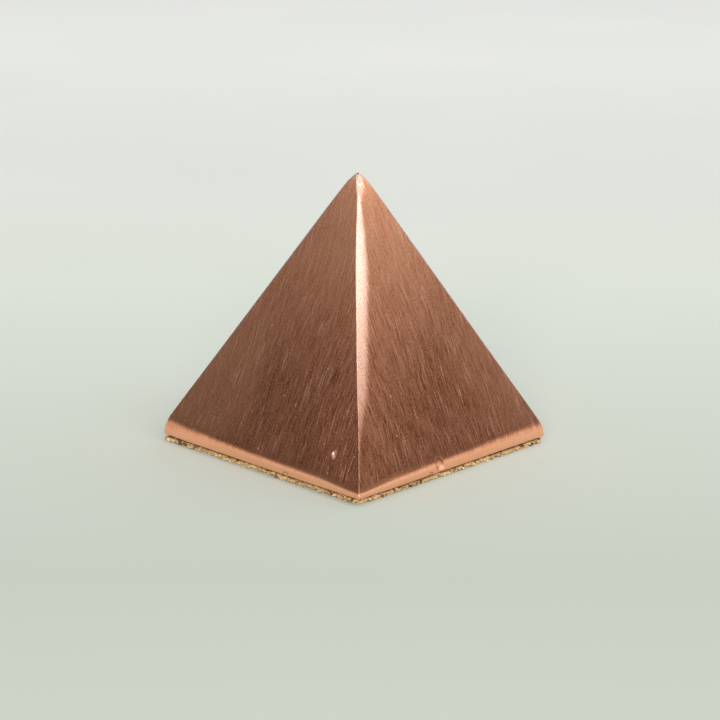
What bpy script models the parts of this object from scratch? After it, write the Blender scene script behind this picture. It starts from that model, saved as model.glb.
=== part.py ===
"""A steep square pyramid cap: a formed copper shell over a timber core, standing on a thin cork pad.

Metres, +Z up. The origin is the centre of the pad's underside, and the four sides face +X, -X, +Y and -Y.
From the outside in, the pieces are:
  copper_shell   copper sheet with four flat faces, open below, its lower edge turned in a little
  timber_core    a block that backs the faces and fills the shell down to the adhesive
  pad_adhesive   a film that bonds the pad to the core, level with the shell's cut edge
  cork_pad       the pad that the cap stands on or is glued down by
"""

import math

import bmesh
import bpy
from mathutils import Vector

# Driving dimensions
BASE_WIDTH = 0.060  # across the rounded lower edges, which are the widest place
FACE_SLOPE = math.radians(63.0)  # each face, from the horizontal
TIP_CUT = 0.00165  # how far the blunt tip lies below the point where the faces would meet
SHEET = 0.0010  # thickness of the copper
LOWER_EDGE_RADIUS = 0.0040  # outside radius of the bend above the lower edge
TURN_UNDER = math.radians(9.0)  # how far past upright the bend goes
FOOT_ROUNDING = 0.0003  # of the outside corner of the sheet's cut edge
ARRIS_RADIUS = 0.0006  # rounding of the four arrises, seen from above
CORE_TIP_CUT = 0.0060  # the core stops this far below the point where the faces would meet
PAD_THICKNESS = 0.0010
PAD_MARGIN = 0.0003  # how far the pad's edge lies inside the widest place
PAD_CORNER_RADIUS = 0.0020
PAD_EDGE_ROUNDING = 0.00015
FILM_THICKNESS = 0.0003
GAP = 0.0003  # clearance kept between neighbouring pieces

# How finely curves are cut
EDGE_STEPS = 8  # four and a half degrees each, so one level falls on the widest place
CORNER_STEPS = 4
TIP_SHARES = (0.05, 0.25, 0.55, 1.0)  # of TIP_REACH, where the tip's levels are cut
ROUNDEST_CORNER = 0.9  # the most of a level's half width that the rounding of its corners may take

# Worked out from the above
FACE_NORMAL = math.radians(90.0) - FACE_SLOPE  # how far each face's normal points up
SHELL_BOTTOM = PAD_THICKNESS + GAP
BEND_HALF_WIDTH = BASE_WIDTH / 2.0 - LOWER_EDGE_RADIUS  # to the bend's centre line
BEND_Z = SHELL_BOTTOM + LOWER_EDGE_RADIUS * math.sin(TURN_UNDER)
BEND_TO_FACE = LOWER_EDGE_RADIUS + (BEND_Z - SHELL_BOTTOM) * math.sin(FACE_NORMAL)
SHARP_HALF_WIDTH = BEND_HALF_WIDTH + BEND_TO_FACE / math.cos(FACE_NORMAL)
SHARP_TIP_Z = SHELL_BOTTOM + SHARP_HALF_WIDTH * math.tan(FACE_SLOPE)
TIP_REACH = 1.5 * TIP_CUT  # half width of the part where the faces round over into the tip
FILM_TOP = SHELL_BOTTOM + FILM_THICKNESS


def make_material(name, colour, metallic, roughness):
    """A Principled material with one plain finish."""
    material = bpy.data.materials.new(name)
    material.use_nodes = True
    shader = material.node_tree.nodes["Principled BSDF"]
    shader.inputs["Base Color"].default_value = (*colour, 1.0)
    shader.inputs["Metallic"].default_value = metallic
    shader.inputs["Roughness"].default_value = roughness
    return material


def square_ring(bm, half_width, height, corner_radius):
    """The vertices of one level square with rounded corners, anticlockwise from above."""
    radius = min(corner_radius, ROUNDEST_CORNER * half_width)
    ring = []
    for corner in range(4):
        middle = math.radians(45.0 + 90.0 * corner)
        reach = (half_width - radius) * math.sqrt(2.0)
        centre = Vector((reach * math.cos(middle), reach * math.sin(middle), height))
        for step in range(CORNER_STEPS + 1):
            angle = middle + math.radians(90.0) * (step / CORNER_STEPS - 0.5)
            offset = Vector((math.cos(angle), math.sin(angle), 0.0)) * radius
            ring.append(bm.verts.new(centre + offset))
    return ring


def loft_levels(name, levels, material):
    """One closed object through level squares, each (half width, height, corner radius), flat at both ends."""
    bm = bmesh.new()
    rings = [square_ring(bm, *level) for level in levels]
    for upper, lower in zip(rings, rings[1:]):
        for index in range(len(upper)):
            following = (index + 1) % len(upper)
            bm.faces.new((upper[index], lower[index], lower[following], upper[following]))
    bm.faces.new(rings[0])
    bm.faces.new(reversed(rings[-1]))
    bmesh.ops.recalc_face_normals(bm, faces=bm.faces)
    mesh = bpy.data.meshes.new(name)
    bm.to_mesh(mesh)
    bm.free()
    mesh.materials.append(material)
    mesh.shade_smooth()
    mesh.set_sharp_from_angle(angle=math.radians(25.0))
    obj = bpy.data.objects.new(name, mesh)
    bpy.context.scene.collection.objects.link(obj)
    return obj


def bend_half_width(depth, height):
    """Half width at a height on the bend's lower part, a given depth inside the shell's outer surface."""
    radius = LOWER_EDGE_RADIUS - depth
    return BEND_HALF_WIDTH + math.sqrt(radius ** 2 - (BEND_Z - height) ** 2)


def face_half_width(depth, height):
    """Half width of the plane faces at a height, a given depth inside the shell's outer surface."""
    sharp_z = SHARP_TIP_Z - depth / math.cos(FACE_SLOPE)
    return (sharp_z - height) / math.tan(FACE_SLOPE)


def bend_levels(depth, foot_z, corner_radius):
    """Levels round the bend, from the end of the faces down to a foot height."""
    radius = LOWER_EDGE_RADIUS - depth
    last = math.asin((foot_z - BEND_Z) / radius)
    levels = []
    for step in range(EDGE_STEPS + 1):
        angle = FACE_NORMAL + (last - FACE_NORMAL) * step / EDGE_STEPS
        half_width = BEND_HALF_WIDTH + radius * math.cos(angle)
        levels.append((half_width, BEND_Z + radius * math.sin(angle), corner_radius))
    return levels


def tip_levels():
    """The shell's blunt tip, as a hyperbola that runs into the plane faces."""
    levels = []
    for share in TIP_SHARES:
        half_width = TIP_REACH * share
        drop = math.hypot(TIP_CUT, half_width * math.tan(FACE_SLOPE))
        levels.append((half_width, SHARP_TIP_Z - drop, ARRIS_RADIUS))
    return levels


def make_copper_shell():
    """The formed sheet: down its outside, across its cut edge and back up its inside."""
    copper = make_material("brushed_copper", (0.86, 0.43, 0.29), 1.0, 0.32)
    outside = tip_levels() + bend_levels(0.0, SHELL_BOTTOM + FOOT_ROUNDING, ARRIS_RADIUS)
    foot_half_width = outside[-1][0]
    for angle in (math.radians(45.0), math.radians(90.0)):
        inward = FOOT_ROUNDING * (1.0 - math.cos(angle))
        height = SHELL_BOTTOM + FOOT_ROUNDING * (1.0 - math.sin(angle))
        outside.append((foot_half_width - inward, height, ARRIS_RADIUS))
    inner_tip_z = SHARP_TIP_Z - TIP_CUT - 2.0 * SHEET
    inside = [(face_half_width(SHEET, inner_tip_z), inner_tip_z, ARRIS_RADIUS)]
    inside += bend_levels(SHEET, SHELL_BOTTOM, ARRIS_RADIUS)
    return loft_levels("copper_shell", outside + inside[::-1], copper)


def make_timber_core():
    """The block inside the shell, ending just above the adhesive film."""
    timber = make_material("softwood", (0.55, 0.38, 0.21), 0.0, 0.7)
    depth = SHEET + GAP
    top_z = SHARP_TIP_Z - CORE_TIP_CUT
    levels = [(face_half_width(depth, top_z), top_z, ARRIS_RADIUS)]
    levels += bend_levels(depth, FILM_TOP + GAP, ARRIS_RADIUS)
    return loft_levels("timber_core", levels, timber)


def make_pad_adhesive():
    """A thin square film between the core and the pad."""
    adhesive = make_material("adhesive_film", (0.22, 0.16, 0.10), 0.0, 0.5)
    half_width = bend_half_width(SHEET, SHELL_BOTTOM) - GAP
    levels = [
        (half_width, FILM_TOP, ARRIS_RADIUS),
        (half_width, SHELL_BOTTOM, ARRIS_RADIUS),
    ]
    return loft_levels("pad_adhesive", levels, adhesive)


def make_cork_pad():
    """The square pad, with rounded corners and slightly eased edges."""
    cork = make_material("fine_cork", (0.50, 0.32, 0.15), 0.0, 0.9)
    half_width = BASE_WIDTH / 2.0 - PAD_MARGIN
    eased = half_width - PAD_EDGE_ROUNDING
    levels = [
        (eased, PAD_THICKNESS, PAD_CORNER_RADIUS),
        (half_width, PAD_THICKNESS - PAD_EDGE_ROUNDING, PAD_CORNER_RADIUS),
        (half_width, PAD_EDGE_ROUNDING, PAD_CORNER_RADIUS),
        (eased, 0.0, PAD_CORNER_RADIUS),
    ]
    return loft_levels("cork_pad", levels, cork)


def main():
    for old in list(bpy.data.objects):
        bpy.data.objects.remove(old, do_unlink=True)
    make_copper_shell()
    make_timber_core()
    make_pad_adhesive()
    make_cork_pad()


main()
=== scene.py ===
"""The finished look of the copper pyramid cap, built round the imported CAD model.

Metres, +Z up. The visible shell and the cork pad are detailed pieces that replace their CAD nodes. The timber
core and the adhesive film keep their CAD shape and get finished materials.
"""

import math
import random

import bmesh
import bpy
from mathutils import Matrix, Vector, noise


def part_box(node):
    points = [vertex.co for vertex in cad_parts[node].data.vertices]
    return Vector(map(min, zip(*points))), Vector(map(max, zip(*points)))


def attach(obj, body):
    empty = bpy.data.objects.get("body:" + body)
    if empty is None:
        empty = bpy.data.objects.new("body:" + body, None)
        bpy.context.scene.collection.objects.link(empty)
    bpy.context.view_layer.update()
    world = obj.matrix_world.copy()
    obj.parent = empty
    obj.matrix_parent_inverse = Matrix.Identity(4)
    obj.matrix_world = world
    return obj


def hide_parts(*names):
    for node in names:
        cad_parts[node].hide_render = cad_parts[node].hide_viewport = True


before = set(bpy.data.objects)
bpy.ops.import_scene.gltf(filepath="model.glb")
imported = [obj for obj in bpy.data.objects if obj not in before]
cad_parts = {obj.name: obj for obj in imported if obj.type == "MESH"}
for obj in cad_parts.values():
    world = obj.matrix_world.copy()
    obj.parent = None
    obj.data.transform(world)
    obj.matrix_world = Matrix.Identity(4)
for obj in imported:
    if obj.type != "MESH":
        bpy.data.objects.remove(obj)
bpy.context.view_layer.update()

MM = 0.001
SHELL_LOW, SHELL_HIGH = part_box("copper_shell")
PAD_LOW, PAD_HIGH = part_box("cork_pad")

# The shell's section, as in the CAD model
FACE_SLOPE = math.radians(63.0)
SHEET = 1.0 * MM
CAD_EDGE_RADIUS = 4.0 * MM
TURN_UNDER = math.radians(9.0)
FACE_NORMAL = math.radians(90.0) - FACE_SLOPE
BOTTOM = SHELL_LOW.z
BEND_HALF_WIDTH = SHELL_HIGH.x - CAD_EDGE_RADIUS
BEND_RISE = CAD_EDGE_RADIUS * math.sin(TURN_UNDER)
BEND_TO_FACE = CAD_EDGE_RADIUS + BEND_RISE * math.sin(FACE_NORMAL)
SHARP_HALF_WIDTH = BEND_HALF_WIDTH + BEND_TO_FACE / math.cos(FACE_NORMAL)
SHARP_TIP_Z = BOTTOM + SHARP_HALF_WIDTH * math.tan(FACE_SLOPE)
TIP_CUT = SHARP_TIP_Z - SHELL_HIGH.z

# The four sides in turn face -Y, +X, +Y and -X. Corner n lies between side n and the next one, so corner 0 is
# the one towards the camera.
SIDE_ANGLES = [math.radians(-90.0 + 90.0 * side) for side in range(4)]
CREASE_RADIUS = 0.16 * MM  # of the four arrises
FOOT_CREASE_RADIUS = 0.08 * MM  # and at their feet
CREASE_NARROWS = (18.0 * MM, 26.0 * MM)  # half widths between which the one turns into the other
ROUND_TIP = 1.3 * MM  # above about this half width the level sections turn from square to round
ROUND_TIP_FALL = 0.8  # how fast the rounding shrinks as the half width grows
CROWN = 0.05 * MM  # how far a face's sides lie behind its middle
FOOT_ROUNDING = 0.4 * MM
PLANE_FROM = (6.0 * MM, 20.0 * MM)  # half widths between which the tip's hyperbola fades into the plane
LEAN_START = 0.35  # of the face's half width at its foot, where a lean begins

# The bend's radius in mm along each side, which hand finishing has left wider towards some corners: pairs of
# the share across the side, from -1 at one corner to 1 at the next, and the radius there.
BEND_RADII = [
    [(-1.0, 10.6), (-0.7, 8.8), (-0.4, 6.4), (0.0, 4.9), (0.3, 4.4), (0.55, 4.0), (1.0, 2.5)],
    [(-1.0, 2.5), (-0.55, 4.0), (-0.2, 5.0), (0.15, 5.6), (0.5, 7.4), (0.75, 8.6), (1.0, 9.0)],
    [(-1.0, 9.0), (-0.7, 8.0), (-0.2, 6.0), (0.5, 5.2), (1.0, 6.6)],
    [(-1.0, 6.6), (-0.4, 5.0), (0.2, 5.8), (0.7, 8.6), (1.0, 10.6)],
]
WIDEST_BEND = 9.0  # from this radius in mm upwards, the bend ends upright

# The buffing of the lower edge, which also paints a reflection of the floor on it. Shares are of the bend's
# height, or of the buffed height set below where that is less.
FULLY_BUFFED_AND_REFLECTING = 0.45  # below this share the edge is buffed and painted bright as a reflection of the floor
LEAST_BUFFED_AND_REFLECTING = 1.60  # above this share it is neither buffed nor painted bright
BUFFED_AND_REFLECTING_HEIGHT = 2.4 * MM

# How the hand finishing rolls each side over at its arrises: length and turn on the side before the corner,
# then on the side after it. Both are multiplied by the shares that ROLL_LENGTHS and ROLL_TURNS give: pairs of
# the height in mm above the shell's underside and the share there.
ARRIS_ROLLS = [
    (0.2 * MM, math.radians(3.0), 3.0 * MM, math.radians(17.0)),
    (0.5 * MM, math.radians(6.0), 0.4 * MM, math.radians(5.0)),
    (1.4 * MM, math.radians(14.0), 0.8 * MM, math.radians(8.0)),
    (0.4 * MM, math.radians(5.0), 0.6 * MM, math.radians(6.0)),
]
FRONT_LENGTHS = [
    (0.0, 0.10), (9.0, 0.12), (13.0, 0.40), (17.0, 0.90), (24.0, 1.0), (41.0, 1.0),
    (47.0, 0.74), (52.0, 0.40), (54.5, 0.30), (56.5, 0.70), (58.0, 1.1), (60.0, 1.2),
]
PLAIN_LENGTHS = [(0.0, 0.10), (6.0, 0.12), (16.0, 1.0), (44.0, 1.0), (56.0, 0.4)]
ROLL_LENGTHS = [FRONT_LENGTHS, PLAIN_LENGTHS, PLAIN_LENGTHS, PLAIN_LENGTHS]
FRONT_TURNS = [
    (0.0, 0.15), (10.0, 0.20), (14.0, 0.34), (20.0, 0.56),
    (28.0, 0.72), (38.0, 0.90), (46.0, 1.0), (60.0, 1.0),
]
PLAIN_TURNS = [(0.0, 0.3), (12.0, 0.8), (24.0, 1.0)]
ROLL_TURNS = [FRONT_TURNS, PLAIN_TURNS, PLAIN_TURNS, PLAIN_TURNS]
ROLL_POWER = 1.3  # 1 would make the roll a flat bevel, and 2 an even curve
ROLLED_FROM = (0.3 * MM, 1.8 * MM)  # half widths between which the roll-overs and the crown set in
LONGEST_ROLL = 1.3  # of the half width
NEIGHBOUR_ROLL = 3.0 * MM  # how far the neighbouring side's roll-over reaches in along this side
LONGEST_NEIGHBOUR_ROLL = 0.8  # of the half width

# How worn the metal is, with a painted highlight on the worn parts, and where handling and a painted sheen
# lighten it
ARRIS_WEAR_AND_HIGHLIGHT = (0.60, 1.15)  # of the roll-over's length, where its wear and painted highlight start to fade and where they end
TIP_WEAR_AND_HIGHLIGHT = 0.8  # on the rounded part of the tip, where 1 is bare metal with a painted highlight
TIP_WEAR_AND_HIGHLIGHT_DEPTH = (0.5 * MM, 1.9 * MM)  # below the tip, where its wear and painted highlight start to fade and where they end
HANDLED_AND_SHEEN_HEIGHTS = (12.0 * MM, 64.0 * MM)  # between which the lightening grows towards the tip, partly handling and partly a painted sheen
FOOT_SHEEN_HEIGHTS = (14.0 * MM, 42.0 * MM)  # between which the painted sheen at the feet fades

# The painted sheen at the feet: pairs of the share across the side and its amount there.
FOOT_SHEEN_ACROSS = [
    [(-1.0, 0.66), (-0.6, 0.50), (-0.1, 0.10), (0.3, 0.02), (0.6, -0.08), (1.0, 0.0)],
    [(-1.0, -0.06), (-0.4, 0.0), (0.3, 0.02), (0.6, 0.22), (1.0, 0.42)],
    [(-1.0, 0.42), (-0.2, 0.05), (0.5, 0.10), (1.0, 0.25)],
    [(-1.0, 0.25), (0.1, 0.0), (0.6, 0.40), (1.0, 0.66)],
]

# How finely the shell is cut
TIP_ROWS = 14
TIP_REACH = 2.4 * MM  # half width where the tip's own rows end
SLOPE_ROWS = 44
BEND_ROWS = 16
FOOT_ROWS = 4
INNER_BEND_ROWS = 6
SIDE_SPACING = 1.1 * MM
NEAR_CORNER = [0.0, 0.05, 0.10, 0.15, 0.20, 0.28, 0.38, 0.52, 0.70, 0.95, 1.3, 1.75, 2.3, 3.0, 3.9]  # mm
SIDE_OFFSET = 100.0  # between the sides' brush patterns, in the pattern's millimetres


def smooth_step(value, low, high):
    """0 below low and 1 above high, with an even ease between."""
    share = min(1.0, max(0.0, (value - low) / (high - low)))
    return share * share * (3.0 - 2.0 * share)


def side_axes(side):
    """The outward and the anticlockwise direction of one side, in plan."""
    angle = SIDE_ANGLES[side]
    outward = Vector((math.cos(angle), math.sin(angle), 0.0))
    along = Vector((-math.sin(angle), math.cos(angle), 0.0))
    return outward, along


def eased(places, position):
    """The value at a position among rising (position, value) pairs, eased between them."""
    for (start, first), (end, second) in zip(places, places[1:]):
        if position <= end:
            return first + (second - first) * smooth_step(position, start, end)
    return places[-1][1]


def bend_radius(side, across):
    """The bend's outside radius at a share across a side."""
    return eased(BEND_RADII[side], across) * MM


def bend_section(side, across):
    """(radius, centre's half width, centre's height, lean) of the bend at a share across a side.

    A wider bend ends nearer upright, and the plane face above it stays where it is. Above a bend tighter than
    the CAD model's the face leans in by the last value at its foot, so that the widest place keeps its width.
    """
    radius = bend_radius(side, across)
    share = min(1.0, max(0.0, (WIDEST_BEND * MM - radius) / (WIDEST_BEND * MM - CAD_EDGE_RADIUS)))
    rise = radius * math.sin(TURN_UNDER * share)
    free_centre = SHARP_HALF_WIDTH - (radius + rise * math.sin(FACE_NORMAL)) / math.cos(FACE_NORMAL)
    centre = min(free_centre, SHELL_HIGH.x - radius)
    return radius, centre, BOTTOM + rise, free_centre - centre


def outer_profile(side, across):
    """Rows of (half width, height, distance down, buffing and painted reflection) from the tip to the sheet's
    cut edge.
    """
    radius, centre, centre_z, lean = bend_section(side, across)
    slope_end = centre + radius * math.cos(FACE_NORMAL)
    bend_height = centre_z + radius * math.sin(FACE_NORMAL) - BOTTOM
    rows = []
    halves = [TIP_REACH * ((step + 1) / TIP_ROWS) ** 2 for step in range(TIP_ROWS)]
    slope = slope_end - TIP_REACH
    halves += [TIP_REACH + slope * step / SLOPE_ROWS for step in range(1, SLOPE_ROWS + 1)]
    for half_width in halves:
        plane_drop = half_width * math.tan(FACE_SLOPE)
        tip_drop = math.hypot(TIP_CUT, plane_drop) - plane_drop
        height = SHARP_TIP_Z - plane_drop - tip_drop * (1.0 - smooth_step(half_width, *PLANE_FROM))
        height -= lean * math.tan(FACE_SLOPE) * smooth_step(half_width, LEAN_START * slope_end, slope_end)
        down = half_width / math.cos(FACE_SLOPE)
        rows.append((half_width, height, down, buffing_and_reflection_at(height, bend_height)))
    last = math.asin((BOTTOM + FOOT_ROUNDING - centre_z) / radius)
    for step in range(1, BEND_ROWS + 1):
        angle = FACE_NORMAL + (last - FACE_NORMAL) * step / BEND_ROWS
        half_width = centre + radius * math.cos(angle)
        height = centre_z + radius * math.sin(angle)
        down_bend = down + radius * (FACE_NORMAL - angle)
        rows.append((half_width, height, down_bend, buffing_and_reflection_at(height, bend_height)))
    foot_half_width, _, down, _ = rows[-1]
    for step in range(1, FOOT_ROWS + 1):
        angle = math.radians(90.0) * step / FOOT_ROWS
        half_width = foot_half_width - FOOT_ROUNDING * (1.0 - math.cos(angle))
        height = BOTTOM + FOOT_ROUNDING * (1.0 - math.sin(angle))
        rows.append((half_width, height, down + FOOT_ROUNDING * angle, 1.0))
    return rows


def buffing_and_reflection_at(height, bend_height):
    """How much of the brushing is buffed away at a height, and how much floor reflection is painted there."""
    share = (height - BOTTOM) / min(bend_height, BUFFED_AND_REFLECTING_HEIGHT)
    return 1.0 - smooth_step(share, FULLY_BUFFED_AND_REFLECTING, LEAST_BUFFED_AND_REFLECTING)


def inner_profile():
    """Rows of (half width, height) from the cut edge back up the inside to the inner tip."""
    radius = CAD_EDGE_RADIUS - SHEET
    last = math.asin(-BEND_RISE / radius)
    rows = []
    for step in range(INNER_BEND_ROWS + 1):
        angle = last + (FACE_NORMAL - last) * step / INNER_BEND_ROWS
        half_width = BEND_HALF_WIDTH + radius * math.cos(angle)
        rows.append((half_width, BOTTOM + BEND_RISE + radius * math.sin(angle)))
    tip_z = SHARP_TIP_Z - TIP_CUT - 2.0 * SHEET
    sharp_z = SHARP_TIP_Z - SHEET / math.cos(FACE_SLOPE)
    rows.append(((sharp_z - tip_z) / math.tan(FACE_SLOPE), tip_z))
    return rows


def roll_at(corner, before, height):
    """(length, depth, turn's share) of the roll-over beside a corner, on the side before it or after it."""
    length_before, turn_before, length_after, turn_after = ARRIS_ROLLS[corner]
    length, turn = (length_before, turn_before) if before else (length_after, turn_after)
    above = (height - BOTTOM) / MM
    length *= eased(ROLL_LENGTHS[corner], above)
    turn_share = eased(ROLL_TURNS[corner], above)
    return length, length * math.tan(turn * turn_share) / ROLL_POWER, turn_share


def nearest_corner(side, across, half_width):
    """(corner, whether this side comes before it, distance to it) for a place on a level section."""
    before = across >= 0.0
    corner = side if before else (side + 3) % 4
    return corner, before, half_width * (1.0 - abs(across))


def wear_and_painted_highlight(side, across, half_width, height):
    """How worn the surface is beside an arris and at the tip, where a highlight is also painted: 0 where the
    roll-over ends.
    """
    corner, before, from_corner = nearest_corner(side, across, half_width)
    length, _, turn_share = roll_at(corner, before, height)
    along_arris = turn_share * (1.0 - smooth_step(from_corner / length, *ARRIS_WEAR_AND_HIGHLIGHT))
    at_tip = 1.0 - smooth_step(SHELL_HIGH.z - height, *TIP_WEAR_AND_HIGHLIGHT_DEPTH)
    return max(along_arris, TIP_WEAR_AND_HIGHLIGHT * at_tip)


def handling_and_painted_sheen(side, across, height):
    """How much lighter the metal is painted: towards the tip partly from handling and partly as a painted
    sheen, and at the feet of the side corners as a painted sheen.
    """
    tip_part = smooth_step(height, *HANDLED_AND_SHEEN_HEIGHTS)
    foot_part = eased(FOOT_SHEEN_ACROSS[side], across) * (1.0 - smooth_step(height, *FOOT_SHEEN_HEIGHTS))
    return min(1.0, tip_part + foot_part)


def place(side, across, half_width, height, finished=True):
    """A point of the shell: on the sharp square, then rounded, and also rolled and crowned if finished."""
    outward, along = side_axes(side)
    corner, before, from_corner = nearest_corner(side, across, half_width)
    at_foot = smooth_step(half_width, *CREASE_NARROWS)
    crease = CREASE_RADIUS + (FOOT_CREASE_RADIUS - CREASE_RADIUS) * at_foot
    crease = min(half_width, max(crease, ROUND_TIP - ROUND_TIP_FALL * half_width))
    outward_reach = half_width
    along_reach = half_width * abs(across)
    if from_corner < crease:
        angle = math.radians(45.0) * (1.0 - from_corner / crease)
        outward_reach = half_width - crease + crease * math.cos(angle)
        along_reach = half_width - crease + crease * math.sin(angle)
    if finished:
        crown = CROWN * half_width / SHARP_HALF_WIDTH
        share = smooth_step(half_width, *ROLLED_FROM)
        own_length, own_depth, _ = roll_at(corner, before, height)
        _, other_depth, _ = roll_at(corner, not before, height)
        cut_length = min(own_length, LONGEST_ROLL * half_width)
        reach = min(NEIGHBOUR_ROLL, LONGEST_NEIGHBOUR_ROLL * half_width)
        own = own_depth * cut_length / own_length * max(0.0, 1.0 - from_corner / cut_length) ** ROLL_POWER
        other = other_depth * max(0.0, 1.0 - from_corner / reach) ** 2
        outward_reach -= share * own + crown * across ** 4
        along_reach -= share * other + crown * max(0.0, 1.0 - from_corner / reach) ** 2
    point = outward * outward_reach + along * (along_reach if before else -along_reach)
    point.z = height
    return point


def across_shares():
    """Where the columns of one side stand, from -1 to 1, closer together near both corners."""
    near = [1.0 - step * MM / SHARP_HALF_WIDTH for step in NEAR_CORNER]
    middle_steps = 2 * round(near[-1] * SHARP_HALF_WIDTH / SIDE_SPACING)
    middle = [near[-1] * (1.0 - 2.0 * step / middle_steps) for step in range(1, middle_steps)]
    return sorted([-share for share in near] + middle + near)


def add_quads(bm, upper, lower, uv_layer, upper_uvs, lower_uvs, outer_layer, outer):
    """Faces between two rings of the same length. The uv lists give each side's own column values."""
    count = len(upper)
    for index in range(count):
        following = (index + 1) % count
        face = bm.faces.new((upper[index], lower[index], lower[following], upper[following]))
        face[outer_layer] = outer
        face.smooth = True
        values = (upper_uvs[index][0], lower_uvs[index][0], lower_uvs[index][1], upper_uvs[index][1])
        for loop, value in zip(face.loops, values):
            loop[uv_layer].uv = value


def build_shell_mesh():
    """The formed sheet as one closed mesh, with the marks of use in its outer surface."""
    bm = bmesh.new()
    uv_layer = bm.loops.layers.uv.new("brush")
    outer_layer = bm.faces.layers.int.new("outer")
    buff_and_reflection_layer = bm.verts.layers.float.new("buffed_and_reflection")
    wear_highlight_layer = bm.verts.layers.float.new("worn_and_painted_highlight")
    handled_sheen_layer = bm.verts.layers.float.new("handled_and_painted_sheen")
    shade_layer = bm.verts.layers.float.new("painted_shade")
    shares = across_shares()
    columns = [(side, share) for side in range(4) for share in shares[:-1]]
    profiles = [outer_profile(side, share) for side, share in columns]
    last_profiles = [outer_profile(side, 1.0) for side in range(4)]
    rings = []
    uvs = []
    for row in range(len(profiles[0])):
        ring = []
        row_uvs = []
        for index, (side, share) in enumerate(columns):
            half_width, height, down, buffing_and_reflection = profiles[index][row]
            vert = bm.verts.new(place(side, share, half_width, height))
            vert[buff_and_reflection_layer] = buffing_and_reflection
            vert[wear_highlight_layer] = wear_and_painted_highlight(side, share, half_width, height)
            vert[handled_sheen_layer] = handling_and_painted_sheen(side, share, height)
            ring.append(vert)
            here = uv_of(side, share, half_width, down)
            if index + 1 < len(columns) and columns[index + 1][0] == side:
                next_half, _, next_down, _ = profiles[index + 1][row]
                there = uv_of(side, columns[index + 1][1], next_half, next_down)
            else:
                next_half, _, next_down, _ = last_profiles[side][row]
                there = uv_of(side, 1.0, next_half, next_down)
            row_uvs.append((here, there))
        rings.append(ring)
        uvs.append(row_uvs)
    for upper, lower, upper_uvs, lower_uvs in zip(rings, rings[1:], uvs, uvs[1:]):
        add_quads(bm, upper, lower, uv_layer, upper_uvs, lower_uvs, outer_layer, 1)
    tip = bm.verts.new((0.0, 0.0, SHELL_HIGH.z))
    # Full wear with painted highlight, and full painted sheen, at the very tip
    tip[wear_highlight_layer] = 1.0
    tip[handled_sheen_layer] = 1.0
    for index, vert in enumerate(rings[0]):
        face = bm.faces.new((tip, vert, rings[0][(index + 1) % len(rings[0])]))
        face[outer_layer] = 1
        face.smooth = True
        side_offset = Vector((SIDE_OFFSET * columns[index][0], 0.0))
        for loop, value in zip(face.loops, (side_offset, uvs[0][index][0], uvs[0][index][1])):
            loop[uv_layer].uv = value
    previous, previous_uvs = rings[-1], uvs[-1]
    for half_width, height in inner_profile():
        ring = [bm.verts.new(place(side, share, half_width, height, False)) for side, share in columns]
        add_quads(bm, previous, ring, uv_layer, previous_uvs, previous_uvs, outer_layer, 0)
        previous = ring
    bm.faces.new(list(reversed(previous)))
    bmesh.ops.recalc_face_normals(bm, faces=bm.faces)
    add_marks(bm, outer_layer, wear_highlight_layer, shade_layer)
    mesh = bpy.data.meshes.new("brushed_copper_shell")
    bm.to_mesh(mesh)
    bm.free()
    return mesh


def uv_of(side, share, half_width, down):
    """Millimetres across the side and down it, with each side's pattern apart from the others."""
    return Vector((half_width * share / MM + SIDE_OFFSET * side, -down / MM))


# Marks of use. Each is (side, mm along it from its middle, mm above the shell's underside, half width, half
# length, depth and lean in degrees), with lengths in mm. Half length runs down the slope before the lean.
NICKS = [
    (0, 20.3, 6.9, 0.62, 0.98, 0.26, 14.0),
]
PITS = [
    (0, 1.7, 14.5, 0.16, 0.20, 0.05, 0.0),
    (0, 5.8, 13.6, 0.20, 0.30, 0.06, -20.0),
    (0, 20.0, 15.2, 0.16, 0.20, 0.05, 15.0),
    (0, -8.3, 26.8, 0.18, 0.22, 0.06, 0.0),
    (0, 15.5, 8.4, 0.16, 0.18, 0.05, 0.0),
    (0, 25.6, 7.6, 0.14, 0.18, 0.05, 0.0),
    (0, -0.3, 3.6, 0.20, 0.24, 0.07, 30.0),
    (0, 20.2, 3.3, 0.16, 0.22, 0.06, 0.0),
    (0, -5.5, 10.0, 0.16, 0.20, 0.05, 0.0),
    (1, -24.6, 23.6, 0.20, 0.30, 0.06, 35.0),
    (1, -14.7, 9.4, 0.22, 0.26, 0.06, 0.0),
    (1, -12.8, 16.8, 0.14, 0.30, 0.05, 25.0),
    (1, 4.0, 8.0, 0.14, 0.18, 0.04, 0.0),
]
SCRATCHES = [
    (1, 7.5, 13.2, 0.10, 3.1, 0.05, -4.0),
    (1, 2.1, 11.0, 0.09, 1.7, 0.04, -2.0),
    (1, 11.9, 4.9, 0.08, 1.0, 0.04, -6.0),
    (1, -7.0, 24.0, 0.07, 2.4, 0.03, 6.0),
    (0, 9.0, 20.0, 0.07, 2.8, 0.03, 9.0),
    (0, -13.0, 16.0, 0.07, 2.0, 0.03, -7.0),
]
EDGE_DENTS = [
    (1, -5.0, 1.60, 1.12, 1.60, 0.85, 18.0),
    (1, -8.0, 0.35, 0.65, 0.40, 0.22, 0.0),
    (0, 9.0, 0.5, 0.7, 0.4, 0.10, 0.0),
    (3, 6.0, 1.0, 0.9, 0.6, 0.12, 0.0),
]

# What each kind of mark looks like: the height of its lip as a share of its depth, how flat its floor is, how
# bare its floor is, which also paints it pale as a highlight, and how much painted shade lies on its rim
NICK_KIND = (0.12, 3.0, 1.0, 0.45)
PIT_KIND = (0.10, 2.2, 0.7, 0.2)
SCRATCH_KIND = (0.25, 2.2, 0.5, 0.0)
DENT_KIND = (0.10, 2.4, 0.15, 0.75)

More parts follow.
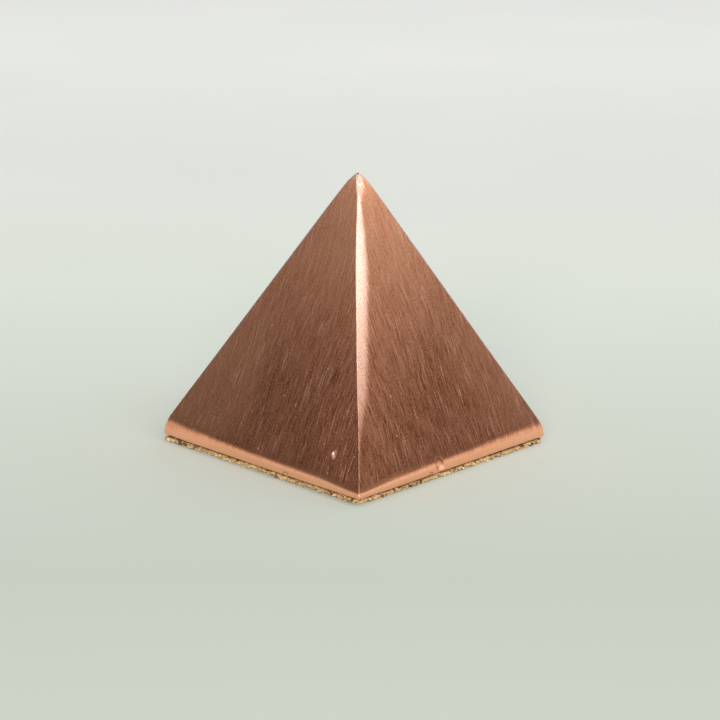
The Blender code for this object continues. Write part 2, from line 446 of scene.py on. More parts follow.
# Marks at seeded places on the sides that face away: seed, count a side, half width, half length and depth
HIDDEN_PITS = (11, 6, 0.18, 0.24, 0.06)
HIDDEN_SCRATCHES = (12, 3, 0.08, 2.2, 0.035)
HIDDEN_HEIGHTS = (6.0, 44.0)  # mm
HIDDEN_SIZES = (0.7, 1.2)  # the smallest and the largest, as shares of the sizes above
HIDDEN_LEAN = 12.0  # degrees
HIDDEN_ROOM = 0.8  # how far from a side's middle they may lie, as a share of its half width there

# How a mark is cut and pressed. Its edge is at 1 in the shares of its half width and half length.
MARK_REACH = 1.7  # how far out it changes the surface
MARK_THICKNESS = 0.8 * MM  # how far from its middle's plane it may find the surface
MARK_FALL = 1.6  # how fast its depth fades outwards
LIP_AT, LIP_WIDTH = 1.12, 0.22  # of the raised lip round it
RIM_AT, RIM_WIDTH = 0.92, 0.20  # of the painted shade on its rim
RIM_UPWARD = (-0.7, 0.5)  # along its length, between which that painted shade sets in
NEAR_A_MARK = 12.0 * MM  # beyond this a face's own size doesn't count
CUTTING_ROUNDS = 6
FINEST_CUT = 0.063 * MM
COARSEST_CUT = 0.135 * MM
CUT_SHARE = 0.4  # of a mark's half width, for the longest edge in it

# The pinhole by the tip
PINHOLE_OUT = 0.25 * MM  # from the shell's centre line
PINHOLE_BELOW_TIP = 0.10 * MM
PINHOLE_RISE = 0.7  # of its axis, for each unit outwards
PINHOLE_RADIUS = 0.20 * MM
PINHOLE_DEPTH = 0.40 * MM
PINHOLE_REACH = 3.0 * PINHOLE_RADIUS  # beyond this it changes nothing


def scattered(kind_seed, count, half_width, half_length, depth):
    """Marks of one kind on the two sides that face away, at seeded places."""
    pick = random.Random(kind_seed)
    marks = []
    for side in (2, 3):
        for _ in range(count):
            height = pick.uniform(*HIDDEN_HEIGHTS)
            room = HIDDEN_ROOM * (SHARP_HALF_WIDTH / MM - height / math.tan(FACE_SLOPE))
            size = pick.uniform(*HIDDEN_SIZES)
            along = pick.uniform(-room, room)
            lean = pick.uniform(-HIDDEN_LEAN, HIDDEN_LEAN)
            marks.append((side, along, height, half_width * size, half_length * size, depth * size, lean))
    return marks


def outer_half_width(side, along, height):
    """(half width, normal's elevation) of the outer surface at a place along a side, before any mark."""
    radius, centre, centre_z, _ = bend_section(side, along / SHARP_HALF_WIDTH)
    if height > centre_z + radius * math.sin(FACE_NORMAL):
        return (SHARP_TIP_Z - height) / math.tan(FACE_SLOPE), FACE_NORMAL
    angle = math.asin(max(-1.0, (height - centre_z) / radius))
    return centre + radius * math.cos(angle), angle


def mark_axes(side, along, height, lean):
    """The middle of a mark, its outward normal, and the directions of its width and its length."""
    outward, sideways = side_axes(side)
    reach, angle = outer_half_width(side, along, height)
    middle = outward * reach + sideways * along
    middle.z = height
    normal = outward * math.cos(angle) + Vector((0.0, 0.0, math.sin(angle)))
    upward = normal.cross(sideways)
    turn = Matrix.Rotation(lean, 3, normal)
    return middle, normal, turn @ sideways, turn @ upward


def refine_near(bm, outer_layer, middle, width_axis, length_axis, half_width, half_length, finest):
    """Halves the outer faces' long edges round a mark until none there is longer than finest."""
    width_reach = MARK_REACH * half_width
    length_reach = MARK_REACH * half_length
    for _ in range(CUTTING_ROUNDS):
        long_edges = set()
        for face in bm.faces:
            if not face[outer_layer]:
                continue
            away = face.calc_center_median() - middle
            size = 0.0
            if away.length < NEAR_A_MARK:
                size = max(edge.calc_length() for edge in face.edges) / 2.0
            if abs(away.dot(width_axis)) > width_reach + size:
                continue
            if abs(away.dot(length_axis)) > length_reach + size:
                continue
            if away.length > MARK_REACH * (half_width + half_length) + size:
                continue
            long_edges.update(edge for edge in face.edges if edge.calc_length() > finest)
        if not long_edges:
            return
        bmesh.ops.subdivide_edges(bm, edges=list(long_edges), cuts=1, use_grid_fill=True)


def press_mark(bm, mark, kind, wear_highlight_layer, shade_layer):
    """Presses one mark of a kind into the surface."""
    lip, sharpness, bareness_and_highlight, rim_shade = kind
    side, along, above, half_width, half_length, depth, lean = mark
    axes = mark_axes(side, along * MM, BOTTOM + above * MM, math.radians(lean))
    middle, normal, width_axis, length_axis = axes
    half_width, half_length, depth = half_width * MM, half_length * MM, depth * MM
    for vert in bm.verts:
        away = vert.co - middle
        if abs(away.dot(normal)) > MARK_THICKNESS:
            continue
        spread = math.hypot(away.dot(width_axis) / half_width, away.dot(length_axis) / half_length)
        if spread > MARK_REACH:
            continue
        fall = math.exp(-(spread ** sharpness) * MARK_FALL)
        rise = lip * math.exp(-((spread - LIP_AT) / LIP_WIDTH) ** 2)
        vert.co += normal * (depth * (rise - fall))
        # A mark's bare floor is also painted pale as a highlight
        vert[wear_highlight_layer] = max(vert[wear_highlight_layer], bareness_and_highlight * fall)
        # Painted shade on the rim, from the mark's middle upwards
        rim = rim_shade * math.exp(-((spread - RIM_AT) / RIM_WIDTH) ** 2)
        rim *= smooth_step(away.dot(length_axis) / half_length, *RIM_UPWARD)
        vert[shade_layer] = max(vert[shade_layer], rim)


def add_marks(bm, outer_layer, wear_highlight_layer, shade_layer):
    """All nicks, pits, scratches and edge dents, and the pinhole by the tip."""
    kinds = (
        (NICKS, NICK_KIND),
        (PITS + scattered(*HIDDEN_PITS), PIT_KIND),
        (SCRATCHES + scattered(*HIDDEN_SCRATCHES), SCRATCH_KIND),
        (EDGE_DENTS, DENT_KIND),
    )
    for marks, kind in kinds:
        for mark in marks:
            side, along, above, half_width, half_length, _, lean = mark
            axes = mark_axes(side, along * MM, BOTTOM + above * MM, math.radians(lean))
            middle, _, width_axis, length_axis = axes
            finest = min(COARSEST_CUT, max(FINEST_CUT, half_width * MM * CUT_SHARE))
            size = (half_width * MM, half_length * MM)
            refine_near(bm, outer_layer, middle, width_axis, length_axis, *size, finest)
            press_mark(bm, mark, kind, wear_highlight_layer, shade_layer)
    press_pinhole(bm, wear_highlight_layer, shade_layer)


def press_pinhole(bm, wear_highlight_layer, shade_layer):
    """A small hole in the worn tip, on the side towards corner 0, with painted shade in it and less painted
    highlight.
    """
    outward = Vector((math.sqrt(0.5), -math.sqrt(0.5), 0.0))
    axis = (outward + Vector((0.0, 0.0, PINHOLE_RISE))).normalized()
    middle = outward * PINHOLE_OUT + Vector((0.0, 0.0, SHELL_HIGH.z - PINHOLE_BELOW_TIP))
    for vert in bm.verts:
        away = vert.co - middle
        if away.length > PINHOLE_REACH or vert.co.dot(outward) < 0.0:
            continue
        beside = (away - axis * away.dot(axis)).length / PINHOLE_RADIUS
        fall = math.exp(-(beside ** 3))
        vert.co -= axis * (PINHOLE_DEPTH * fall)
        # Painted shade inside the hole
        vert[shade_layer] = max(vert[shade_layer], fall)
        vert[wear_highlight_layer] *= 1.0 - fall


# Materials. Colours are linear red, green, blue and alpha.

COPPER_DULL_DARK = (0.215, 0.064, 0.025, 1.0)
COPPER_DULL = (0.275, 0.082, 0.035, 1.0)
COPPER_BRUSH_GLINT = (0.82, 0.330, 0.178, 1.0)
COPPER_HANDLED_SHEEN_DARK = (0.78, 0.300, 0.150, 1.0)
COPPER_HANDLED_SHEEN = (1.0, 0.530, 0.330, 1.0)
COPPER_LONE_LINE_GLINT = (1.0, 0.56, 0.37, 1.0)
COPPER_GRIT_GLINT = (1.0, 0.58, 0.40, 1.0)
COPPER_DARK_GRIT = (0.20, 0.060, 0.022, 1.0)
COPPER_HALF_BUFFED_REFLECTION = (0.86, 0.330, 0.145, 1.0)
COPPER_BUFFED_REFLECTION = (1.0, 0.500, 0.300, 1.0)
COPPER_WORN_HIGHLIGHT_DARK = (0.58, 0.29, 0.19, 1.0)
COPPER_WORN_HIGHLIGHT = (1.0, 0.72, 0.60, 1.0)
COPPER_PAINTED_SHADE = (0.085, 0.030, 0.014, 1.0)

# The brush lines: how many a millimetre across and along, lean in degrees, shift, detail and roughness
FINE_LINES = (2.5, 0.20, 1.0, (0.0, 0.0, 0.0), 3.0, 0.70)
WIDE_LINES = (0.75, 0.07, -2.0, (7.0, 3.0, 0.0), 3.0, 0.6)
CROSS_LINES = (2.8, 0.28, 6.0, (3.0, 9.0, 0.0), 3.0, 0.65)
LONE_LINES = (2.6, 0.13, -3.0, (31.0, 17.0, 0.0), 2.0, 0.5)
LINE_WANDER = 0.8  # mm to either side
BRUSH_DEPTH = 0.060 * MM
BRUSHED_ROUGHNESS = (0.36, 0.27)  # between the lines and on them
BUFFED_ROUGHER_BY = 0.03
BRUSHED_ANISOTROPY = 0.70

CORK_BROWN = (0.56, 0.33, 0.13, 1.0)
CORK_TAN = (0.90, 0.64, 0.33, 1.0)
CORK_BARK = (0.16, 0.08, 0.03, 1.0)
CORK_GRAIN = (0.36, 0.19, 0.07, 1.0)
CORK_CREVICE_SHADE = (0.20, 0.10, 0.04, 1.0)
CORK_TOP_SHADE = (0.13, 0.065, 0.028, 1.0)
TOP_SHADE_DEPTHS = (0.28 * MM, 0.04 * MM)  # below the cork's top, between which the painted shade under the shell's edge sets in
TOP_SHADE_SHARE = 0.75
GRANULE = 0.75 * MM

TIMBER_EARLY = (0.66, 0.46, 0.25, 1.0)
TIMBER_LATE = (0.45, 0.26, 0.11, 1.0)
TIMBER_FIBRE = (0.35, 0.20, 0.09, 1.0)
TIMBER_HEART = (0.055, 0.02)  # metres from the block's centre line to the middle of the growth rings
TIMBER_RINGS = 95.0  # the scale of the rings' texture

ADHESIVE_DARK = (0.16, 0.10, 0.05, 1.0)
ADHESIVE_LIGHT = (0.30, 0.20, 0.10, 1.0)

# Painted light on the floor: darker in front of the object, lighter behind it and far away
FLOOR_NEAR_PAINTED_SHADE = (0.505, 0.548, 0.480, 1.0)
FLOOR_BEHIND_PAINTED_LIGHT = (0.76, 0.800, 0.725, 1.0)
FLOOR_FAR_PAINTED_LIGHT = (0.97, 0.985, 0.945, 1.0)
FLOOR_MOTTLE = (0.45, 0.50, 0.44, 1.0)
FLOOR_PLACES = (-0.08, 0.14, 0.60)  # metres behind the object's middle, for the three colours above


class Nodes:
    """Short calls for building one node material."""

    def __init__(self, name):
        self.material = bpy.data.materials.new(name)
        self.material.use_nodes = True
        self.tree = self.material.node_tree
        self.shader = self.tree.nodes["Principled BSDF"]

    def add(self, kind, **settings):
        node = self.tree.nodes.new(kind)
        for name, value in settings.items():
            setattr(node, name, value)
        return node

    def link(self, source, target):
        self.tree.links.new(source, target)

    def feed(self, socket, value):
        if isinstance(value, bpy.types.NodeSocket):
            self.link(value, socket)
        else:
            socket.default_value = value

    def math(self, operation, first, second=0.0, clamp=False):
        node = self.add("ShaderNodeMath", operation=operation, use_clamp=clamp)
        self.feed(node.inputs[0], first)
        self.feed(node.inputs[1], second)
        return node.outputs[0]

    def scaled(self, vector, scale, turn=0.0, shift=(0.0, 0.0, 0.0)):
        node = self.add("ShaderNodeMapping")
        self.link(vector, node.inputs["Vector"])
        node.inputs["Scale"].default_value = scale
        node.inputs["Rotation"].default_value = (0.0, 0.0, turn)
        node.inputs["Location"].default_value = shift
        return node.outputs[0]

    def noise(self, vector, scale=1.0, detail=2.0, roughness=0.5):
        node = self.add("ShaderNodeTexNoise")
        self.link(vector, node.inputs["Vector"])
        node.inputs["Scale"].default_value = scale
        node.inputs["Detail"].default_value = detail
        node.inputs["Roughness"].default_value = roughness
        return node.outputs["Fac"]

    def brush_lines(self, vector, across, along, lean, shift, detail, roughness):
        placed = self.scaled(vector, (across, along, 1.0), math.radians(lean), shift)
        return self.noise(placed, 1.0, detail, roughness)

    def attribute(self, name):
        return self.add("ShaderNodeAttribute", attribute_name=name).outputs["Fac"]

    def spread(self, value, low, high, to_low=0.0, to_high=1.0):
        node = self.add("ShaderNodeMapRange", clamp=True)
        self.feed(node.inputs["Value"], value)
        for name, number in (("From Min", low), ("From Max", high), ("To Min", to_low), ("To Max", to_high)):
            node.inputs[name].default_value = number
        return node.outputs["Result"]

    def mix(self, share, first, second):
        node = self.add("ShaderNodeMix", data_type="RGBA")
        self.feed(node.inputs["Factor"], share)
        self.feed(node.inputs[6], first)
        self.feed(node.inputs[7], second)
        return node.outputs[2]

    def bump(self, height, distance, strength=1.0, under=None):
        node = self.add("ShaderNodeBump")
        self.link(height, node.inputs["Height"])
        node.inputs["Distance"].default_value = distance
        node.inputs["Strength"].default_value = strength
        if under is not None:
            self.link(under, node.inputs["Normal"])
        return node.outputs["Normal"]


def copper_material():
    """Satin copper with brush lines down each face, buffed edges, worn arrises and a thin uneven tarnish, and
    painted light:
    glints on the brush lines, a floor reflection on the buffed edges, a highlight on the worn arrises and
    tip, a sheen towards the tip and at the side corners' feet, and shade on the rims of marks.
    """
    n = Nodes("brushed_copper_finish")
    brush = n.add("ShaderNodeUVMap", uv_map="brush").outputs["UV"]
    buffed_and_reflection = n.attribute("buffed_and_reflection")
    wander = n.noise(n.scaled(brush, (0.05, 0.05, 1.0)), detail=1.0)
    bent = n.add("ShaderNodeCombineXYZ")
    parts = n.add("ShaderNodeSeparateXYZ")
    n.link(brush, parts.inputs[0])
    sideways = n.spread(wander, 0.2, 0.8, -LINE_WANDER, LINE_WANDER)
    n.link(n.math("ADD", parts.outputs[0], sideways), bent.inputs[0])
    n.link(parts.outputs[1], bent.inputs[1])
    lines = bent.outputs[0]
    fine = n.brush_lines(lines, *FINE_LINES)
    wide = n.brush_lines(lines, *WIDE_LINES)
    cross = n.brush_lines(lines, *CROSS_LINES)
    lone = n.spread(n.brush_lines(lines, *LONE_LINES), 0.60, 0.68)
    grit = n.noise(brush, 2.4, 3.0, 0.65)
    patches = n.noise(n.scaled(brush, (0.07, 0.05, 1.0), 0.0, (5.0, 2.0, 0.0)), detail=4.0, roughness=0.6)
    streaks = n.math("ADD", n.math("MULTIPLY", fine, 0.45), n.math("MULTIPLY", wide, 0.2))
    streaks = n.math("ADD", streaks, n.math("MULTIPLY", cross, 0.35))
    dull = n.mix(n.spread(patches, 0.35, 0.65), COPPER_DULL_DARK, COPPER_DULL)
    # The lighter copper on the brush lines is a painted glint
    low = n.mix(n.spread(streaks, 0.425, 0.60), dull, COPPER_BRUSH_GLINT)
    # Painted sheen: lighter towards the tip, partly from handling, and lighter at the feet of the side
    # corners
    high = n.mix(n.spread(streaks, 0.41, 0.59), COPPER_HANDLED_SHEEN_DARK, COPPER_HANDLED_SHEEN)
    handled_and_painted_sheen = n.math("ADD", n.attribute("handled_and_painted_sheen"), n.spread(patches, 0.3, 0.7, -0.12, 0.12))
    colour = n.mix(n.spread(handled_and_painted_sheen, 0.0, 1.0), low, high)
    # Painted glints on lone lines and on specks of grit
    colour = n.mix(n.math("MULTIPLY", lone, 0.50), colour, COPPER_LONE_LINE_GLINT)
    colour = n.mix(n.spread(grit, 0.55, 0.68, 0.0, 0.60), colour, COPPER_GRIT_GLINT)
    colour = n.mix(n.spread(grit, 0.32, 0.45, 0.50, 0.0), colour, COPPER_DARK_GRIT)
    # Painted reflection of the floor on the buffed lower edge: brighter copper, partly real polish
    polish_reflection = n.mix(n.spread(buffed_and_reflection, 0.3, 0.9), COPPER_HALF_BUFFED_REFLECTION, COPPER_BUFFED_REFLECTION)
    colour = n.mix(n.spread(buffed_and_reflection, 0.1, 0.9, 0.0, 0.95), colour, polish_reflection)
    # Painted highlight: pale speckled copper on the worn arrises, the tip and the floors of nicks, partly
    # real wear
    speckle = n.noise(brush, 4.0, 2.0, 0.6)
    arris = n.mix(n.spread(speckle, 0.36, 0.58), COPPER_WORN_HIGHLIGHT_DARK, COPPER_WORN_HIGHLIGHT)
    colour = n.mix(n.attribute("worn_and_painted_highlight"), colour, arris)
    colour = n.mix(n.attribute("painted_shade"), colour, COPPER_PAINTED_SHADE)
    n.link(colour, n.shader.inputs["Base Color"])
    n.shader.inputs["Metallic"].default_value = 1.0
    rough = n.spread(streaks, 0.40, 0.60, *BRUSHED_ROUGHNESS)
    rough = n.math("ADD", rough, n.math("MULTIPLY", buffed_and_reflection, BUFFED_ROUGHER_BY))
    n.link(rough, n.shader.inputs["Roughness"])
    unbuffed = n.math("SUBTRACT", 1.0, buffed_and_reflection)
    n.link(n.math("MULTIPLY", unbuffed, BRUSHED_ANISOTROPY), n.shader.inputs["Anisotropic"])
    tangent = n.add("ShaderNodeTangent", direction_type="UV_MAP", uv_map="brush")
    n.link(tangent.outputs[0], n.shader.inputs["Tangent"])
    calm = n.math("SUBTRACT", 1.0, n.math("MULTIPLY", buffed_and_reflection, 0.80))
    height = n.math("ADD", streaks, n.math("MULTIPLY", lone, 0.2))
    height = n.math("ADD", height, n.math("MULTIPLY", grit, 0.20))
    n.link(n.bump(n.math("MULTIPLY", height, calm), BRUSH_DEPTH), n.shader.inputs["Normal"])
    return n.material


def cork_material():
    """Fine pressed cork: tan granules and dark flecks of bark, with painted shade in the crevices between
    granules and along its upper edge, under the shell.
    """
    n = Nodes("fine_cork_finish")
    place_here = n.add("ShaderNodeTexCoord").outputs["Object"]
    cells = n.add("ShaderNodeTexVoronoi", feature="F1")
    n.link(place_here, cells.inputs["Vector"])
    cells.inputs["Scale"].default_value = 1.0 / GRANULE
    edges = n.add("ShaderNodeTexVoronoi", feature="DISTANCE_TO_EDGE")
    n.link(place_here, edges.inputs["Vector"])
    edges.inputs["Scale"].default_value = 1.0 / GRANULE
    tone = n.add("ShaderNodeSeparateColor")
    n.link(cells.outputs["Color"], tone.inputs[0])
    grain = n.noise(place_here, 3.0 / GRANULE, 3.0, 0.6)
    colour = n.mix(tone.outputs[0], CORK_BROWN, CORK_TAN)
    colour = n.mix(n.spread(tone.outputs[1], 0.82, 0.90), colour, CORK_BARK)
    colour = n.mix(n.spread(grain, 0.55, 0.75, 0.0, 0.35), colour, CORK_GRAIN)
    # Painted shade in the crevices between granules
    colour = n.mix(n.spread(edges.outputs["Distance"], 0.0, 0.09, 0.5, 0.0), colour, CORK_CREVICE_SHADE)
    parts = n.add("ShaderNodeSeparateXYZ")
    n.link(place_here, parts.inputs[0])
    # Painted shade along the cork's top, in the gap under the shell's edge
    top_shade_heights = [PAD_HIGH.z - depth for depth in TOP_SHADE_DEPTHS]
    top_shade = n.spread(parts.outputs[2], *top_shade_heights, 0.0, TOP_SHADE_SHARE)
    colour = n.mix(top_shade, colour, CORK_TOP_SHADE)
    n.link(colour, n.shader.inputs["Base Color"])
    n.link(n.spread(grain, 0.3, 0.7, 0.95, 0.78), n.shader.inputs["Roughness"])
    height = n.math("ADD", n.spread(edges.outputs["Distance"], 0.0, 0.2), n.math("MULTIPLY", grain, 0.4))
    n.link(n.bump(height, 0.10 * MM, 0.8), n.shader.inputs["Normal"])
    return n.material


def timber_material():
    """Planed softwood with growth rings round an axis beside the block."""
    n = Nodes("planed_softwood")
    place_here = n.add("ShaderNodeTexCoord").outputs["Object"]
    rings = n.add("ShaderNodeTexWave", wave_type="RINGS", rings_direction="Z")
    from_heart = (-TIMBER_HEART[0], -TIMBER_HEART[1], 0.0)
    n.link(n.scaled(place_here, (1.0, 1.0, 0.15), 0.0, from_heart), rings.inputs["Vector"])
    rings.inputs["Scale"].default_value = TIMBER_RINGS
    rings.inputs["Distortion"].default_value = 2.5
    rings.inputs["Detail"].default_value = 3.0
    rings.inputs["Detail Scale"].default_value = 1.5
    fibre = n.noise(n.scaled(place_here, (2500.0, 2500.0, 60.0)), detail=2.0)
    colour = n.mix(rings.outputs["Fac"], TIMBER_EARLY, TIMBER_LATE)
    colour = n.mix(n.spread(fibre, 0.5, 0.8, 0.0, 0.35), colour, TIMBER_FIBRE)
    n.link(colour, n.shader.inputs["Base Color"])
    n.link(n.spread(rings.outputs["Fac"], 0.0, 1.0, 0.75, 0.60), n.shader.inputs["Roughness"])
    n.link(n.bump(fibre, 0.05 * MM, 0.5), n.shader.inputs["Normal"])
    return n.material


def adhesive_material():
    """A brushed-out coat of dark contact adhesive."""
    n = Nodes("contact_adhesive")
    place_here = n.add("ShaderNodeTexCoord").outputs["Object"]
    ridges = n.noise(n.scaled(place_here, (900.0, 120.0, 900.0)), detail=3.0)
    colour = n.mix(n.spread(ridges, 0.35, 0.65), ADHESIVE_DARK, ADHESIVE_LIGHT)
    n.link(colour, n.shader.inputs["Base Color"])
    n.link(n.spread(ridges, 0.3, 0.7, 0.55, 0.32), n.shader.inputs["Roughness"])
    n.link(n.bump(ridges, 0.05 * MM), n.shader.inputs["Normal"])
    return n.material


def floor_material():
    """Pale matt surface with painted light: darker in front of the object and lighter behind it, with the
    faintest unevenness.
    """
    n = Nodes("pale_floor_painted_light")
    place_here = n.add("ShaderNodeTexCoord").outputs["Object"]
    mottle = n.noise(place_here, 9.0, 3.0)
    behind = n.add("ShaderNodeVectorMath", operation="DOT_PRODUCT")
    n.link(place_here, behind.inputs[0])
    behind.inputs[1].default_value = (-math.sqrt(0.5), math.sqrt(0.5), 0.0)
    near = n.spread(behind.outputs["Value"], *FLOOR_PLACES[:2])
    far = n.spread(behind.outputs["Value"], *FLOOR_PLACES[1:])
    colour = n.mix(near, FLOOR_NEAR_PAINTED_SHADE, FLOOR_BEHIND_PAINTED_LIGHT)
    colour = n.mix(far, colour, FLOOR_FAR_PAINTED_LIGHT)
    colour = n.mix(n.spread(mottle, 0.3, 0.7, 0.0, 0.06), colour, FLOOR_MOTTLE)
    n.link(colour, n.shader.inputs["Base Color"])
    n.shader.inputs["Roughness"].default_value = 0.9
    return n.material


# Pieces


def new_object(name, mesh, material):
    mesh.materials.append(material)
    obj = bpy.data.objects.new(name, mesh)
    bpy.context.scene.collection.objects.link(obj)
    return obj


def make_shell():
    shell = new_object("brushed_copper_shell", build_shell_mesh(), copper_material())
    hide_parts("copper_shell")
    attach(shell, "root")


PAD_CORNER_RADII = [3.5 * MM, 1.3 * MM, 1.8 * MM, 1.3 * MM]  # at the corner after each side
FLAT_INSET = 1.2 * MM  # where the flat faces start, inside every granule's reach
FLAT_SHARES = (0.8, 0.6, 0.4, 0.2)  # of the flat faces' size, where they are cut
PAD_STEP = 0.16 * MM
PAD_ROWS = 8
TOP_EASING = 0.42 * MM  # how far the cork's edge falls back at its top
BOTTOM_EASING = 0.10 * MM  # and at its bottom
GRANULE_SPREAD = 0.34  # mm between the granules that stand out most and least
FLUSH_GRANULE = 0.62  # the share of that where a granule is flush with the plain edge
CREVICE_DEPTH = 0.22  # mm
CREVICE_WIDTH = 0.35  # of a granule
MISSING_GRANULES = 0.14  # of them all
MISSING_DEPTH = 0.25  # mm
GRANULE_PICK = 3.1  # any other number picks other granules to stand out


def pad_outline():
    """Points round the pad's plan, with the outward direction at each."""
    half_width = PAD_HIGH.x
    points = []
    for side in range(4):
        outward, along = side_axes(side)
        radius = PAD_CORNER_RADII[side]
        start = PAD_CORNER_RADII[side - 1] - half_width
        end = half_width - radius
        steps = round((end - start) / PAD_STEP)
        for step in range(steps):
            points.append((outward * half_width + along * (start + (end - start) * step / steps), outward))
        centre = (outward + along) * (half_width - radius)
        bend_steps = round(radius * math.radians(90.0) / PAD_STEP)
        for step in range(bend_steps):
            angle = math.radians(90.0) * step / bend_steps
            direction = outward * math.cos(angle) + along * math.sin(angle)
            points.append((centre + direction * radius, direction))
    return points


def granule_push(point):
    """How far the cut edge stands out at a point: each granule its own amount, with crevices between."""
    distances, centres = noise.voronoi(point / GRANULE)
    own = noise.cell(centres[0] * GRANULE_PICK)
    crevice = 1.0 - smooth_step(distances[1] - distances[0], 0.0, CREVICE_WIDTH)
    push = GRANULE_SPREAD * (own - FLUSH_GRANULE) - CREVICE_DEPTH * crevice
    if own < MISSING_GRANULES:
        push -= MISSING_DEPTH
    return push * MM


def build_pad_mesh():
    """The cut cork sheet: a granular edge all round, and flat faces above and below."""
    bm = bmesh.new()
    outline = pad_outline()
    thickness = PAD_HIGH.z - PAD_LOW.z
    rings = []
    for row in range(PAD_ROWS + 1):
        share = row / PAD_ROWS
        edge = (TOP_EASING if share > 0.5 else BOTTOM_EASING) * (2.0 * abs(share - 0.5)) ** 3
        ring = []
        for point, outward in outline:
            here = point + Vector((0.0, 0.0, PAD_LOW.z + thickness * share))
            ring.append(bm.verts.new(here + outward * (granule_push(here) - edge)))
        rings.append(ring)
    for lower, upper in zip(rings, rings[1:]):
        for index in range(len(lower)):
            following = (index + 1) % len(lower)
            face = bm.faces.new((lower[index], lower[following], upper[following], upper[index]))
            face.smooth = True
    for ring, inset_height in ((rings[0], PAD_LOW.z), (rings[-1], PAD_HIGH.z)):
        middle = bm.verts.new((0.0, 0.0, inset_height))
        bands = [ring, [bm.verts.new(point - outward * FLAT_INSET + middle.co) for point, outward in outline]]
        for share in FLAT_SHARES:
            bands.append([bm.verts.new(middle.co.lerp(vert.co, share)) for vert in bands[1]])
        for index in range(len(ring)):
            following = (index + 1) % len(ring)
            for wide, narrow in zip(bands, bands[1:]):
                bm.faces.new((wide[index], wide[following], narrow[following], narrow[index]))
            bm.faces.new((bands[-1][index], bands[-1][following], middle))
    bmesh.ops.recalc_face_normals(bm, faces=bm.faces)
    mesh = bpy.data.meshes.new("granular_cork_pad")
    bm.to_mesh(mesh)
    bm.free()
    return mesh


def make_pad():
    pad = new_object("granular_cork_pad", build_pad_mesh(), cork_material())
    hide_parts("cork_pad")
    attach(pad, "root")


def finish_cad_nodes():
    for node, material in (("timber_core", timber_material()), ("pad_adhesive", adhesive_material())):
        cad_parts[node].material_slots[0].material = material


# Studio

FLOOR_RADIUS = 4.0  # metres
FLOOR_GAP = 0.02 * MM  # between the floor and the pad
CAMERA_DISTANCE = 0.468  # metres
CAMERA_AZIMUTH = math.radians(43.2)
CAMERA_ELEVATION = math.radians(16.0)
CAMERA_ROLL = math.radians(0.91)
CAMERA_LENS = 107.3  # mm, on a sensor of CAMERA_SENSOR
CAMERA_SENSOR = 36.0  # mm
AIM_HEIGHT = PAD_LOW.z + 18.6 * MM
AIM_SIDEWAYS = 1.1 * MM  # towards the picture's right

# Softboxes: name, azimuth and elevation in degrees, distance, width and height in metres, watts and colour
SOFTBOXES = [
    ("key", 102.0, 48.0, 0.70, 0.10, 0.10, 0.27, (1.0, 0.99, 0.97)),
    ("front_fill", 40.0, 24.0, 0.90, 0.5, 0.2, 5.0, (1.0, 1.0, 1.0)),
    ("low_left", -46.0, 3.0, 1.0, 0.5, 0.08, 0.15, (1.0, 1.0, 1.0)),
]

# The room's light: pairs of the sine of the elevation and the brightness there
ROOM_LIGHT = [
    (0.0, 0.90), (0.06, 0.62), (0.12, 0.12), (0.20, 0.03), (0.33, 0.02),
    (0.40, 0.09), (0.45, 0.33), (0.50, 0.51), (1.0, 0.55),
]
ROOM_STRENGTH = 2.60  # on the window's side
FAR_SIDE_SHARE = 0.37  # of that, on the side away from the window
WINDOW_AZIMUTH = 137.0  # degrees
ROOM_SIDES = 0.9  # the cosine to the window's direction beyond which a side is wholly near or far


def make_floor():
    bm = bmesh.new()
    bmesh.ops.create_circle(bm, cap_ends=True, segments=96, radius=FLOOR_RADIUS)
    mesh = bpy.data.meshes.new("floor")
    bm.to_mesh(mesh)
    bm.free()
    floor = new_object("floor", mesh, floor_material())
    floor.location.z = PAD_LOW.z - FLOOR_GAP


def direction_to(azimuth, elevation):
    """The unit direction from the origin to a place, with azimuth 0 on the -Y side and growing towards +X."""
    level = math.cos(elevation)
    return Vector((math.sin(azimuth) * level, -math.cos(azimuth) * level, math.sin(elevation)))


def make_camera():
    data = bpy.data.cameras.new("camera")
    data.sensor_width = CAMERA_SENSOR
    data.lens = CAMERA_LENS
    data.clip_start = 0.01
    data.clip_end = 20.0
    camera = bpy.data.objects.new("camera", data)
    bpy.context.scene.collection.objects.link(camera)
    sideways = Vector((math.sqrt(0.5), math.sqrt(0.5), 0.0))
    aim = sideways * AIM_SIDEWAYS + Vector((0.0, 0.0, AIM_HEIGHT))
    back = direction_to(CAMERA_AZIMUTH, CAMERA_ELEVATION)
    right = Vector((0.0, 0.0, 1.0)).cross(back).normalized()
    up = back.cross(right)
    roll = Matrix.Rotation(CAMERA_ROLL, 3, back)
    axes = Matrix((roll @ right, roll @ up, back)).transposed()
    camera.matrix_world = Matrix.Translation(aim + back * CAMERA_DISTANCE) @ axes.to_4x4()
    bpy.context.scene.camera = camera


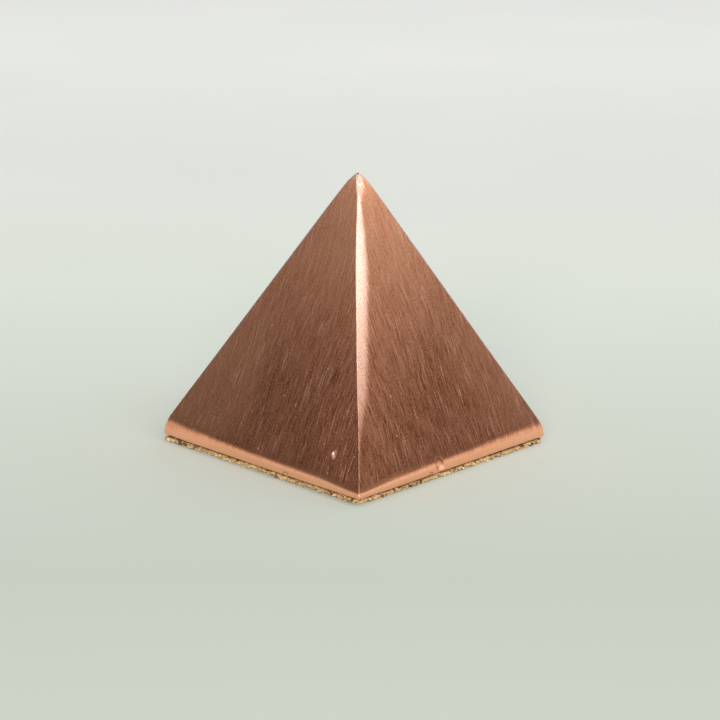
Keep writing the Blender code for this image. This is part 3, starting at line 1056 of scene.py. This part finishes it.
def add_softbox(name, azimuth, elevation, distance, width, height, power, colour):
    data = bpy.data.lights.new(name, "AREA")
    data.shape = "RECTANGLE"
    data.size = width
    data.size_y = height
    data.energy = power
    data.color = colour
    light = bpy.data.objects.new(name, data)
    bpy.context.scene.collection.objects.link(light)
    towards = direction_to(math.radians(azimuth), math.radians(elevation))
    light.location = towards * distance
    light.rotation_euler = towards.to_track_quat("Z", "Y").to_euler()


def make_world():
    """A room that is dim low down and light overhead, and lighter on the window's side."""
    world = bpy.data.worlds.new("studio")
    bpy.context.scene.world = world
    world.use_nodes = True
    tree = world.node_tree
    background = tree.nodes["Background"]
    coordinates = tree.nodes.new("ShaderNodeTexCoord")
    parts = tree.nodes.new("ShaderNodeSeparateXYZ")
    tree.links.new(coordinates.outputs["Generated"], parts.inputs[0])
    ramp = tree.nodes.new("ShaderNodeValToRGB")
    tree.links.new(parts.outputs["Z"], ramp.inputs["Fac"])
    elements = ramp.color_ramp.elements
    while len(elements) < len(ROOM_LIGHT):
        elements.new(0.5)
    for element, (position, value) in zip(elements, ROOM_LIGHT):
        element.position = position
        element.color = (value, value, value, 1.0)
    side = tree.nodes.new("ShaderNodeVectorMath")
    side.operation = "DOT_PRODUCT"
    tree.links.new(coordinates.outputs["Generated"], side.inputs[0])
    side.inputs[1].default_value = direction_to(math.radians(WINDOW_AZIMUTH), 0.0)
    share = tree.nodes.new("ShaderNodeMapRange")
    tree.links.new(side.outputs["Value"], share.inputs["Value"])
    share.inputs["From Min"].default_value = -ROOM_SIDES
    share.inputs["From Max"].default_value = ROOM_SIDES
    share.inputs["To Min"].default_value = FAR_SIDE_SHARE * ROOM_STRENGTH
    share.inputs["To Max"].default_value = ROOM_STRENGTH
    tree.links.new(ramp.outputs["Color"], background.inputs["Color"])
    tree.links.new(share.outputs["Result"], background.inputs["Strength"])


def make_studio():
    make_floor()
    make_camera()
    make_world()
    for softbox in SOFTBOXES:
        add_softbox(*softbox)
    scene = bpy.context.scene
    scene.view_settings.view_transform = "Standard"
    scene.view_settings.look = "None"


make_shell()
make_pad()
finish_cad_nodes()
make_studio()
